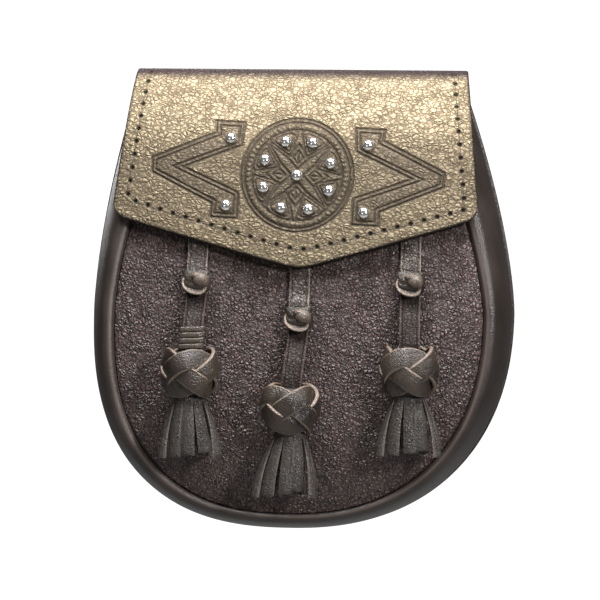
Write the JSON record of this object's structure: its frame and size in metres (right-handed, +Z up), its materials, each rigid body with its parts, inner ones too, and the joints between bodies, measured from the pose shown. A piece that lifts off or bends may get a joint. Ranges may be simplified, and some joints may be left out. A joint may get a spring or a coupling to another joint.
{
  "type": "sporran pouch",
  "caption": "Leather sporran pouch with a pillowed front, wide gusset, folded studded flap, hanging knotted tassels and a belt loop behind.",
  "frame": {"origin": "middle of the belt loop's passage, behind the back panel", "axes": "+Z up along the hanging pouch, +Y out of its back towards the wearer, +X to the viewer's right when seen from the front"},
  "size_m": [0.1891, 0.0708, 0.2063],
  "materials": {
    "smooth_leather": "smooth, waxed",
    "grained_leather": "pebble grain, semi-gloss",
    "bronze_leather": "grained, embossed, semi-gloss",
    "strap_leather": "smooth, satin",
    "chrome": "polished",
    "brass": "satin"
  },
  "bodies": {
    "root": {"back_panel": "smooth_leather", "gusset": "smooth_leather", "front_panel": "grained_leather", "flap": "bronze_leather", "belt_loop": "smooth_leather", "clasp": "brass", "stud_01": "chrome", "stud_02": "chrome", "stud_03": "chrome", "stud_04": "chrome", "stud_05": "chrome", "stud_06": "chrome", "stud_07": "chrome", "stud_08": "chrome", "stud_09": "chrome", "stud_10": "chrome", "stud_11": "chrome", "stud_12": "chrome", "stud_13": "chrome", "strap_left": "strap_leather", "slide_left": "strap_leather", "knot_left": "strap_leather", "tassel_left": "strap_leather", "strap_middle": "strap_leather", "slide_middle": "strap_leather", "knot_middle": "strap_leather", "tassel_middle": "strap_leather", "strap_right": "strap_leather", "slide_right": "strap_leather", "knot_right": "strap_leather", "tassel_right": "strap_leather"}
  },
  "joints": []
}
